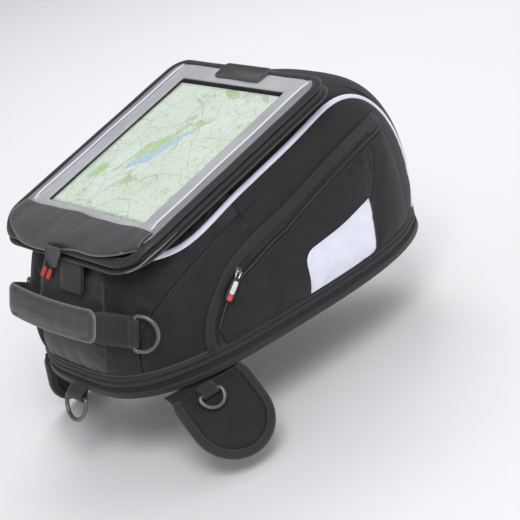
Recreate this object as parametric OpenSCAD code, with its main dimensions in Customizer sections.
// Expandable motorcycle tank bag with a map pocket on its lid.
// +X points to the steering head, +Y to the left, +Z up. The origin is the centre of the base's underside.

/* [Base] */
// Length of the base, rear to front
base_len = 486; // [470:2:500]
// Width of the base
base_w = 290; // [284:2:296]
// Thickness of the base sheet
base_t = 3; // [2:0.5:4]
// Height of the band around the base
collar_h = 28; // [28:1:30]

/* [Main compartment] */
// Thickness of a padded wall panel
wall_t = 4; // [3:0.5:4.5]
// Gap that a seam takes between two panels
seam_gap = 1.6; // [1:0.2:2]
// Height that the expansion gusset adds
expand_h = 30; // [20:1:30]

/* [Lid and map pocket] */
// Slope of the lid, rising to the front, in degrees
lid_slope = 14.5; // [13:0.5:16]
// Height of the window's centre above the base
window_z = 214.7; // [212:0.1:218]
// Length of the window along the slope
window_len = 233; // [220:1:240]
// Width of the window
window_w = 199; // [190:1:205]
// Width of the lid and map pocket
pocket_w = 292; // [288:1:294]

/* [Straps and rings] */
// Width of the handle's webbing
webbing_w = 38; // [36:1:40]
// Outer width of the large D-rings
ring_w = 45; // [43:1:48]
// Radius of the ring wire
wire_r = 2.5; // [2:0.1:2.6]
// Radial clearance between a ring's bar and its loop
ring_play = 0.08; // [0.05:0.01:0.1]

/* [Magnet flaps] */
// Width of a magnet flap
flap_w = 100; // [90:2:104]
// Droop of the right flap below level, in degrees
droop_right = 48; // [30:1:60]
// Droop of the left flap below level, in degrees
droop_left = 72; // [60:1:76]

/* [Hidden] */
$fn = 48;

nylon = [0.13, 0.13, 0.14];
coated = [0.27, 0.27, 0.28];
webbing = [0.17, 0.17, 0.18];
tape = [0.09, 0.09, 0.1];
steel = [0.45, 0.45, 0.47];
silver = [0.76, 0.75, 0.8];
reflective = [0.88, 0.89, 0.97];
red = [0.75, 0.16, 0.1];

// ---- Outlines and the wall surface ----

// Where the rear and front halves of every outline meet
mid_x = -14.5;
base_front = base_len / 2;
base_half = base_w / 2;

function unit(a) = a / norm(a);
function spow(c, e) = sign(c) * pow(abs(c), e);
function mix(a, b, t) = a + (b - a) * t;

// Point of a rounded outline. th is 0 at the front, 90 at the right side and 180 at the rear.
function oval(th, rear, front, half, nr, nf) =
    let (n = cos(th) > 0 ? nf : nr)
    let (reach = cos(th) > 0 ? front - mid_x : mid_x - rear)
    [mid_x + reach * spow(cos(th), 2 / n), -half * spow(sin(th), 2 / n)];

// The base's outline, set in by d
function base_oval(th, d) = oval(th, d - base_front, base_front - d, base_half - d, 3.35, 2.72);
function base_outline(d) = [for (i = [0:95]) base_oval(-i * 3.75, d)];

// A point of the lid's plane: s along the slope, y across, n off the window's outer face
window_x = -44.2;
function lid_pt(s, y, n) = [
    window_x + s * cos(lid_slope) - n * sin(lid_slope), y,
    window_z + s * sin(lid_slope) + n * cos(lid_slope)
];

// The rim of the main opening lies in the lid's plane, under the lid
rim_n = -25;
function rim_pt(th) =
    let (n = 3.6)
    let (s = (cos(th) > 0 ? 150 : 160) * spow(cos(th), 2 / n) - 5)
    lid_pt(s, -124 * spow(sin(th), 2 / n), rim_n);

// The wall is a set of cubic curves from the collar up to the rim. v is 0 at the collar and 1 at the rim.
function lifted(p, z0, k) = [p[0], p[1], z0 + k * p[0]];
function wall_raw(th, v) =
    let (a = lifted(base_oval(th, 3.5), collar_h, 0))
    let (b = lifted(oval(th, -243, 266, 149, 4, 2.72), 95, 0.165))
    let (c = lifted(oval(th, -213, 214, 142, 4, 2.9), 186, 0.238))
    let (d = rim_pt(th))
    let (w = 1 - v)
    w * w * w * a + 3 * w * w * v * b + 3 * w * v * v * c + v * v * v * d;
function along_th(th, v) = unit(wall_raw(th + 0.5, v) - wall_raw(th - 0.5, v));
function along_v(th, v) = unit(wall_raw(th, v + 0.005) - wall_raw(th, v - 0.005));
function wall_normal(th, v) = unit(cross(along_v(th, v), along_th(th, v)));
function wall_pt(th, v, off) = wall_raw(th, v) + off * wall_normal(th, v);
// How many millimetres one unit of v is worth
function v_scale(th, v) = norm(wall_raw(th, v + 0.01) - wall_raw(th, v - 0.01)) / 0.02;

// ---- Seam lines on the wall, for the right side ----

corner_th = 31;
top_v = 0.85;
// The reflective piping: along the side under the lid, over the shoulder and down the front corner
function piping_v(th) =
    th <= 90 ? top_v * pow(1 - pow(min(1, (90 - th) / (90 - corner_th)), 3.8), 1 / 3.8) :
    th <= 136 ? top_v - 0.05 * sin(180 * (th - 90) / 34) :
    mix(0.895, 1, min(1, (th - 136) / 8));
// Angles that follow the piping's arc closely down to the collar
arc_steps = 12;
arc_ths = concat([90, 85, 80, 75],
    [for (i = [1:arc_steps]) 90 - (90 - corner_th) * pow(sin(i * 84 / arc_steps), 2 / 3.8)]);
// The double-stitched seam under the rear yoke
yoke_rear = 145;
yoke_front = 92;
yoke_span = yoke_rear - yoke_front;
function yoke_th(t) = yoke_rear - yoke_span * pow(t, 4);
function yoke_v(t) = 0.7 * t;
yoke_ts = concat([0.25, 0.4, 0.5, 0.58], [for (i = [0:8]) pow(mix(9, yoke_span, i / 8) / yoke_span, 0.25)]);
rear_seam = 166;

// ---- Building blocks ----

// A closed sheet between two grids of points that share a layout
module sheet(outer, inner) {
    rows = len(outer);
    cols = len(outer[0]);
    n = rows * cols;
    turn = cross(outer[0][1] - outer[0][0], outer[1][0] - outer[0][0]) * (outer[0][0] - inner[0][0]) > 0;
    outer_id = [for (i = [0:rows - 1]) [for (j = [0:cols - 1]) i * cols + j]];
    inner_id = [for (r = outer_id) [for (k = r) k + n]];
    border = concat(
        [for (j = [0:cols - 1]) [0, j]],
        [for (i = [1:rows - 1]) [i, cols - 1]],
        [for (j = [cols - 2:-1:0]) [rows - 1, j]],
        [for (i = [rows - 2:-1:1]) [i, 0]]
    );
    edges = len(border);
    skin = [
        for (g = [outer_id, inner_id], i = [0:rows - 2], j = [0:cols - 2])
            let (a = g[i][j], b = g[i][j + 1], c = g[i + 1][j + 1], d = g[i + 1][j])
            each (g == outer_id ? [[a, b, c], [a, c, d]] : [[c, b, a], [d, c, a]])
    ];
    rim = [
        for (k = [0:edges - 1])
            let (p = border[k], q = border[(k + 1) % edges])
            let (a = outer_id[p[0]][p[1]], b = outer_id[q[0]][q[1]])
            each [[b, a, a + n], [b, a + n, b + n]]
    ];
    faces = concat(skin, rim);
    points = concat([for (r = outer) each r], [for (r = inner) each r]);
    polyhedron(points, turn ? faces : [for (f = faces) [f[2], f[1], f[0]]], convexity = 6);
}

// A wall panel. Each column is [th, lowest v, highest v]; it lies between two distances off the wall surface.
module panel(columns, rows, low = -wall_t, high = 0) {
    sheet(
        [for (c = columns) [for (j = [0:rows]) wall_pt(c[0], mix(c[1], c[2], j / rows), high)]],
        [for (c = columns) [for (j = [0:rows]) wall_pt(c[0], mix(c[1], c[2], j / rows), low)]]
    );
}

// A strip along a path of [th, v] points, from width w0 to w1 beside the path, measured up the wall
module wall_strip(path, w0, w1, low, high) {
    grid = function(off) [
        for (p = path)
            let (k = v_scale(p[0], p[1]))
            [for (w = [w0, mix(w0, w1, 0.5), w1]) wall_pt(p[0], p[1] + w / k, off)]
    ];
    sheet(grid(high), grid(low));
}

module left_side() {
    mirror([0, 1, 0]) children();
}
module both_sides() {
    children();
    left_side() children();
}

// Places children on the wall: x runs forward, y up the wall and z straight out
module on_wall(th, v, off = 0) {
    z = wall_normal(th, v);
    y = along_v(th, v);
    x = cross(y, z);
    p = wall_pt(th, v, off);
    multmatrix([
        [x[0], y[0], z[0], p[0]],
        [x[1], y[1], z[1], p[1]],
        [x[2], y[2], z[2], p[2]],
        [0, 0, 0, 1]
    ]) children();
}

// Places children on the lid's plane: x up the slope, y across and z off the window
module on_lid() {
    translate([window_x, 0, window_z]) rotate([0, -lid_slope, 0]) children();
}

// A band around the base between two insets and two heights
module ring_band(outer_d, inner_d, z0, z1) {
    translate([0, 0, z0]) linear_extrude(z1 - z0) difference() {
        polygon(base_outline(outer_d));
        polygon(base_outline(inner_d));
    }
}

// Rounded outline of a lid layer: rear and front ends, half width, rear and front corner radii
function corner(cx, cy, r, a0) = [for (i = [0:8]) [cx + r * cos(a0 + i * 11.25), cy + r * sin(a0 + i * 11.25)]];
function lid_outline(rear, front, half, rr, rf) = concat(
    corner(front - rf, half - rf, rf, 0), corner(rear + rr, half - rr, rr, 90),
    corner(rear + rr, rr - half, rr, 180), corner(front - rf, rf - half, rf, 270)
);
// A layer of the lid, set in by d and at its sides by side more, between two heights off the window's face
lid_rear = -178;
lid_front = 150;
module lid_layer(d, n0, n1, side = 0) {
    translate([0, 0, n0]) linear_extrude(n1 - n0)
        polygon(lid_outline(lid_rear + d, lid_front - d, pocket_w / 2 - d - side, 42 - d / 2, 24 - d / 2));
}
module lid_ring(outer_d, inner_d, n0, n1, side = 0) {
    difference() {
        lid_layer(outer_d, n0, n1, side);
        lid_layer(inner_d, n0 - 1, n1 + 1, side);
    }
}

// ---- Base ----

module base_panel() {
    color(nylon) linear_extrude(base_t) polygon(base_outline(3.2));
}
module base_stiffener() {
    color(tape) translate([0, 0, base_t + 0.2]) linear_extrude(2) polygon(base_outline(10));
}
module base_binding() {
    color(webbing) ring_band(0, 3, 0.2, 7.8);
}
zip_z = 8;
zip_h = 2.7;
module expansion_zip_lower() {
    color(tape) ring_band(2.6, 8.5, zip_z, zip_z + zip_h);
}
module expansion_zip_upper() {
    color(tape) ring_band(2.6, 8.5, zip_z + zip_h + 0.2, zip_z + 2 * zip_h + 0.2);
}
upper_z = zip_z + 2 * zip_h + 0.4;
module upper_collar() {
    color(nylon) ring_band(0.6, 7.5, upper_z, collar_h - 0.4);
}
gusset_d = 14;
module expansion_gusset() {
    color(nylon) ring_band(gusset_d, gusset_d + 1.5, base_t + 2.4, zip_z + zip_h + expand_h + 3);
}
// Slider of the expansion zip, with its short pull, on the left side
exp_x = -60;
module expansion_slider() {
    color(steel) translate([exp_x, base_half - 2.6, zip_z + zip_h]) {
        translate([-5, 0.5, -2.5]) cube([10, 2.2, 5]);
        translate([-2, 2.6, -1.5]) cube([4, 1, 3]);
        translate([-3, 3.4, -9]) cube([6, 1.4, 11]);
    }
}

// ---- Rings and the loops that hold them ----

ring_bend = 4;
big_ring = ring_w / 2 - wire_r;
big_arm = 7;
// A D-ring: bar along y at the origin, bow of radius c towards x. Its parts meet end to end.
module d_ring(c, arm) {
    rotate([90, 0, 0]) cylinder(r = wire_r, h = 2 * (c - ring_bend), center = true);
    for (s = [0, 1]) mirror([0, s, 0]) translate([ring_bend, c - ring_bend, 0]) {
        rotate([0, 0, 90]) rotate_extrude(angle = 90) translate([ring_bend, 0]) circle(wire_r);
        if (arm > ring_bend) translate([0, ring_bend, 0]) rotate([0, 90, 0]) cylinder(r = wire_r, h = arm - ring_bend);
    }
    translate([arm, 0, 0]) rotate([0, 0, -90]) rotate_extrude(angle = 180) translate([c, 0]) circle(wire_r);
}
// Folded webbing around a ring's bar, with a tail of sewn webbing that lies towards -x
loop_r = wire_r + 2.4;
module ring_loop(c, tail) {
    w = 2 * (c - ring_bend) - 1;
    difference() {
        rotate([90, 0, 0]) linear_extrude(w, center = true) union() {
            circle(loop_r);
            translate([-tail, -loop_r]) square([tail, 3.4]);
        }
        rotate([90, 0, 0]) cylinder(r = wire_r + ring_play, h = w + 2, center = true);
    }
}

// Rear tab: leaves the base under its rear edge and hangs down the tank
tab_drop = 65;
tab_y = -5;
module at_rear_tab() {
    translate([-base_front - 9, tab_y, 0.6]) rotate([0, 0, 180]) rotate([0, tab_drop, 0])
        translate([4.5, 0, 0]) children();
}
module rear_tab() {
    color(webbing) at_rear_tab() ring_loop(big_ring, 12.5);
}
module rear_ring() {
    color(steel) at_rear_tab() d_ring(big_ring, big_arm);
}

// ---- Walls of the main compartment ----

// v taken by half a seam
function half_seam(th, v) = seam_gap / 2 / v_scale(th, v);

module rear_panel() {
    color(coated) panel([for (i = [0:8]) [rear_seam + 0.3 + i * (360 - 2 * rear_seam - 0.6) / 8, 0, 1]], 8);
}
function yoke_columns() = concat(
    [for (th = [rear_seam - 0.3:-3:yoke_rear + 0.4]) [th, 0, 1]],
    [[yoke_rear - 0.1, 0, 1]],
    [for (t = yoke_ts) let (th = yoke_th(t)) [th, yoke_v(t) + 0.006, (th > 143 ? 1 : piping_v(th) - 0.006)]]
);
module rear_yokes() {
    color(nylon) both_sides() panel(yoke_columns(), 8);
}
function side_columns() = concat(
    [for (t = yoke_ts) [yoke_th(t) - 0.5, 0, yoke_v(t) - 0.006]],
    [for (th = arc_ths) [th + 0.35, 0, piping_v(th) - 0.006]]
);
module side_panel_right() {
    color(nylon) panel(side_columns(), 10);
}
module side_panel_left() {
    color(nylon) left_side() panel(side_columns(), 10);
}
function gusset_columns() =
    [for (th = [141:-4:93]) [th, piping_v(th) + 0.006, 1]];
module top_gussets() {
    color(nylon) both_sides() panel(gusset_columns(), 3);
}
function front_half() = concat(
    [for (th = arc_ths) [th - 0.35, piping_v(th) + 0.006, 1]],
    [[corner_th - 1, 0, 1]],
    [for (th = [27:-4:3]) [th, 0, 1]]
);
module front_panel() {
    half = front_half();
    flipped = [for (i = [len(half) - 1:-1:0]) [-half[i][0], half[i][1], half[i][2]]];
    color(nylon) panel(concat(half, [[0, 0, 1]], flipped), 10);
}
function piping_path() = concat(
    [for (th = [136:-4:92]) [th, piping_v(th)]],
    [for (th = arc_ths) [th, piping_v(th)]]
);
piping_w = 7;
module reflective_piping() {
    // The strip crosses its path at right angles on the surface, so that it can turn down the front corner
    path = piping_path();
    last = len(path) - 1;
    strip = function(off) [
        for (i = [0:last])
            let (p = path[i], a = path[max(0, i - 1)], b = path[min(last, i + 1)])
            let (q = wall_raw(p[0], p[1]), nrm = wall_normal(p[0], p[1]))
            let (run = unit(wall_raw(b[0], b[1]) - wall_raw(a[0], a[1])))
            let (side = unit(cross(nrm, run)))
            [for (w = [-1, 0, 1]) q + side * w * piping_w / 2 + nrm * (off + (w == 0 ? 0.6 : 0))]
    ];
    color(reflective) both_sides() sheet(strip(2.2), strip(0.9));
}
module inner_lining() {
    color(tape) panel([for (i = [0:72]) [1.2 + i * (360 - 2.4) / 72, 0, 0.985]], 7, -wall_t - 5, -wall_t - 4);
}

// ---- Side pockets ----

// The zip: up from the collar behind the pocket, then forward along its top edge
zip_bottom = [110, 0.036];
zip_knee = [97.5, 0.39];
zip_end = [46, 0.475];
function zip_path() = concat(
    [for (t = [0:0.2:0.8]) [mix(zip_bottom[0], zip_knee[0], t * t), mix(zip_bottom[1], zip_knee[1], t)]],
    [for (t = [0:0.1:1])
        [mix(zip_knee[0], zip_end[0], t), mix(zip_knee[1], zip_end[1], t) + 0.075 * sin(180 * pow(t, 0.75))]]
);
module side_zips() {
    color(tape) both_sides() wall_strip(zip_path(), -5, 5, 0.9, 2);
}
// The raised pocket below the zip
function pocket_top(th) = lookup(th, [for (p = zip_path()) [p[0], p[1] - 7 / v_scale(p[0], p[1])]]);
module pocket_panels() {
    columns = [for (th = [108:-4:44]) [th, 0.004, max(0.02, pocket_top(th))]];
    color(nylon) both_sides() panel(columns, 7, 0.6, 5);
}
// The storm flap above the zip
module pocket_welts() {
    path = [for (p = zip_path()) if (p[0] < 96 && p[1] > 0.3) p];
    color(nylon) both_sides() wall_strip(path, 6, 19, 0.9, 4);
}
module reflective_patches() {
    columns = [for (i = [0:6])
        let (th = mix(89, 68.8, i / 6))
        [th, 0.006, 0.243 - 0.05 * pow(1 - i / 6, 6)]];
    color(reflective) both_sides() panel(columns, 4, 5.3, 6.1);
}
// A slider body and its hinge lug, standing on the tape
pin_z = 4.1;
pin_r = 0.8;
module zip_slider() {
    translate([-4.5, -3.5, 0]) cube([9, 7, 2.2]);
    difference() {
        translate([-1.8, -1.4, 2.1]) cube([3.6, 2.8, 3.5]);
        translate([0, 0, pin_z]) rotate([90, 0, 0])
            cylinder(r = pin_r + ring_play, h = 6, center = true);
    }
}
// A puller: its pin lies along y through the slider's lug, and its blade hangs towards -x
module zip_puller(blade) {
    translate([0, 0, pin_z]) {
        rotate([90, 0, 0]) cylinder(r = pin_r, h = 6.4, center = true);
        for (s = [-1, 1]) translate([-7, s * 2.6 - 0.7, -0.8]) cube([7, 1.4, 1.6]);
        translate([-8 - blade, -4.2, -0.9]) cube([blade + 1.5, 8.4, 1.8]);
    }
}
side_slider_v = 0.405;
side_slider_th = 97;
module on_side_zip() {
    on_wall(side_slider_th, side_slider_v, 2.4) rotate([0, 0, 40]) children();
}
module side_slider_right() {
    color(steel) on_side_zip() zip_slider();
}
module side_slider_left() {
    color(steel) left_side() on_side_zip() zip_slider();
}
module side_puller_right() {
    color(red) on_side_zip() zip_puller(28);
}
module side_puller_left() {
    color(red) left_side() on_side_zip() zip_puller(28);
}

// ---- Lid and map pocket ----

module main_zip_lower() {
    color(tape) on_lid() lid_ring(22, 34, -24.4, -23.6);
}
module main_zip_upper() {
    color(tape) on_lid() lid_ring(20, 34, -23.4, -22.6);
}
lid_inset = 8;
module lid_panel() {
    color(nylon) on_lid() lid_layer(4, -22.4, -20.6, lid_inset);
}
module lid_binding() {
    color(webbing) on_lid() lid_ring(0.4, 3.7, -22.4, -18.6, lid_inset);
}
module lid_stiffener() {
    color(tape) on_lid() lid_layer(10, -20.4, -18.6, lid_inset);
}
module pocket_back() {
    color(nylon) on_lid() lid_layer(4, -18.4, -17);
}
// Gusset of the map pocket: both sides and the front, open at the rear
module pocket_wall() {
    color(nylon) on_lid() difference() {
        lid_ring(4, 7, -16.8, -1.6);
        translate([lid_rear - 1, -120, -18]) cube([30, 240, 18]);
    }
}
module pocket_binding() {
    color(webbing) on_lid() difference() {
        lid_ring(0, 3.7, -10, 0.8);
        translate([lid_rear - 1, -112, -20]) cube([20, 224, 24]);
    }
}
frame_rear = -168;
frame_front = 144;
module pocket_frame() {
    color(silver) on_lid() translate([0, 0, -1.4]) linear_extrude(1.2) difference() {
        polygon(lid_outline(frame_rear, frame_front, pocket_w / 2 - 4, 36, 20));
        square([window_len, window_w], center = true);
    }
}
module pocket_window() {
    color([0.85, 0.9, 0.92, 0.35]) on_lid() translate([0, 0, -1.2]) linear_extrude(0.8)
        square([window_len - 0.6, window_w - 0.6], center = true);
}
module map_sheet() {
    color([0.8, 0.87, 0.75]) on_lid() translate([-5, 0, -4.2]) cube([220, 196, 0.5], center = true);
}
module pocket_piping() {
    color(reflective) on_lid() for (s = [-1, 1])
        translate([(frame_rear + frame_front) / 2 + 16, s * 122.5, -0.1]) rotate([0, 90, 0])
            translate([-0.9, 0, 0]) cylinder(r = 0.85, h = 258, center = true);
}
module front_badge() {
    color(tape) on_lid() translate([134, 0, 0]) linear_extrude(2.4)
        polygon(lid_outline(-10, 11, 42, 9, 5));
}
// Hook-and-loop strap that holds the lid's rear edge down, over the zip, to the rear wall
module closure_strap() {
    color(webbing) on_wall(180, 0.9, 6.4) translate([-19, -36, 0]) cube([46, 36, 2.4]);
}
// Cover flap of the map pocket's rear opening, hinged along its front edge
flap_front = -127;
flap_rear = -179;
module rear_flap() {
    color(coated) on_lid() union() {
        translate([0, 0, 1.2]) linear_extrude(2) polygon(lid_outline(flap_rear, flap_front - 0.5, 132, 34, 3));
        translate([flap_rear, -98, -8]) cube([2.2, 196, 10]);
    }
}
pull_tilt = 16;
module flap_pull_tab() {
    color(coated) on_lid() translate([flap_rear - 1.4, 0, -1]) rotate([0, pull_tilt - 90, 0])
        linear_extrude(2.6) polygon([[3.5, -21], [3.5, 21], [-8, 20], [-28, 9], [-30, 2], [-26, -4], [-8, -20]]);
}
// The two main sliders meet beside the closure strap, on the rear wall just under the lid
main_v = 0.92;
main_th_right = 183.1;
main_th_left = 186;
module main_slider(th) {
    color(steel) on_wall(th, main_v, 0.4) rotate([0, 0, 90]) zip_slider();
}
module main_puller(th) {
    color(red) on_wall(th, main_v, 0.4) rotate([0, 0, 90]) zip_puller(22);
}
module main_slider_right() {
    main_slider(main_th_right);
}
module main_slider_left() {
    main_slider(main_th_left);
}
module main_puller_right() {
    main_puller(main_th_right);
}
module main_puller_left() {
    main_puller(main_th_left);
}

// ---- Handle ----

handle_x = -247;
handle_z = 101.5;
handle_lean = 20;
grip_half = 91;
grip_h = 35;
anchor_th = 147;
anchor_v = 0.4;
module at_handle() {
    translate([handle_x, 0, handle_z]) rotate([0, handle_lean, 0]) children();
}
module handle_grip() {
    r = 6;
    color(coated) at_handle() rotate([0, 90, 0]) linear_extrude(9, center = true)
        polygon([for (c = [[1, 1], [-1, 1], [-1, -1], [1, -1]], i = [0:6])
            let (a = (c == [1, 1] ? 0 : c == [-1, 1] ? 90 : c == [-1, -1] ? 180 : 270) + i * 15)
            [c[0] * (grip_h / 2 - r) + r * cos(a), c[1] * (grip_half - r) + r * sin(a)]]);
}
module handle_webbing() {
    color(webbing) at_handle() both_sides() linear_extrude(webbing_w, center = true)
        polygon([
            [-1.2, grip_half + 0.4], [1.2, grip_half + 0.4], [22, grip_half + 4.6], [21, grip_half + 7],
            [-1.2, grip_half + 3]
        ]);
}
module at_anchor() {
    on_wall(anchor_th, anchor_v, loop_r + 0.9) rotate([0, 0, -6]) translate([4, 0, 0]) children();
}
module handle_anchors() {
    color(webbing) both_sides() at_anchor() ring_loop(big_ring, 15);
}
module handle_ring_right() {
    color(steel) at_anchor() d_ring(big_ring, big_arm);
}
module handle_ring_left() {
    color(steel) left_side() at_anchor() d_ring(big_ring, big_arm);
}

// ---- Magnet flaps ----

// The flap leaves the base's right edge: x runs forward along its root, y out along the flap, z off its top
flap_x = -163;
flap_inset = 6;
flap_root_turn = 7;
flap_skew = -4;
flap_len = 43;
module at_flap(droop) {
    translate([flap_x, flap_inset - base_half, -4.6]) rotate([0, 0, -flap_root_turn]) rotate([droop, 0, 0])
        rotate([0, 0, 180 - flap_skew]) mirror([1, 0, 0]) children();
}
function flap_outline(d) = concat(
    [[-flap_w / 2 + d, 0.5 + d], [-flap_w / 2 + d, flap_len]],
    [for (a = [172:-8:8]) [(flap_w / 2 - d) * cos(a), flap_len + (flap_w / 2 - d) * sin(a)]],
    [[flap_w / 2 - d, flap_len], [flap_w / 2 - d, 0.5 + d]]
);
magnet_r = 17;
magnet_places = [[-21, 35], [21, 35], [0, 70]];
module flap_cover() {
    difference() {
        translate([0, 0, -3]) linear_extrude(6) polygon(flap_outline(3.4));
        for (m = magnet_places) translate([m[0], m[1], -1.8]) cylinder(r = magnet_r + 0.5, h = 3.6);
    }
}
module flap_magnets() {
    for (m = magnet_places) translate([m[0], m[1], -1.5]) cylinder(r = magnet_r, h = 3);
}
small_ring = 14.5;
small_arm = 4;
module at_flap_ring() {
    translate([-7, 10, 3.2 + loop_r]) rotate([0, 0, 90]) children();
}
// Binding around the flap's free edge, and the sewn loop that holds the ring
module flap_trim() {
    translate([0, 0, -3.4]) linear_extrude(6.8) difference() {
        polygon(flap_outline(0));
        polygon(flap_outline(3.2));
        translate([-flap_w, -10]) square([2 * flap_w, 14.2]);
    }
    at_flap_ring() ring_loop(small_ring, 8);
}
module flap_ring() {
    at_flap_ring() d_ring(small_ring, small_arm);
}
module magnet_flap_right() {
    color(nylon) at_flap(droop_right) flap_cover();
}
module flap_trim_right() {
    color(webbing) at_flap(droop_right) flap_trim();
}
module flap_magnets_right() {
    color(steel) at_flap(droop_right) flap_magnets();
}
module flap_ring_right() {
    color(steel) at_flap(droop_right) flap_ring();
}
module magnet_flap_left() {
    color(nylon) left_side() at_flap(droop_left) flap_cover();
}
module flap_trim_left() {
    color(webbing) left_side() at_flap(droop_left) flap_trim();
}
module flap_magnets_left() {
    color(steel) left_side() at_flap(droop_left) flap_magnets();
}
module flap_ring_left() {
    color(steel) left_side() at_flap(droop_left) flap_ring();
}

// ---- Assembly ----

base_panel();
base_stiffener();
base_binding();
expansion_gusset();
expansion_zip_lower();
rear_tab();
expansion_zip_upper();
upper_collar();
rear_panel();
rear_yokes();
side_panel_right();
side_panel_left();
front_panel();
top_gussets();
reflective_piping();
inner_lining();
pocket_panels();
pocket_welts();
side_zips();
reflective_patches();
main_zip_lower();
handle_anchors();
lid_panel();
lid_stiffener();
lid_binding();
main_zip_upper();
pocket_back();
pocket_wall();
pocket_frame();
pocket_window();
map_sheet();
pocket_binding();
pocket_piping();
front_badge();
closure_strap();
rear_flap();
flap_pull_tab();
main_slider_right();
main_slider_left();
main_puller_right();
main_puller_left();
side_slider_right();
side_slider_left();
side_puller_right();
side_puller_left();
expansion_slider();
handle_grip();
handle_webbing();
handle_ring_right();
handle_ring_left();
rear_ring();
magnet_flap_right();
flap_trim_right();
flap_magnets_right();
flap_ring_right();
magnet_flap_left();
flap_trim_left();
flap_magnets_left();
flap_ring_left();
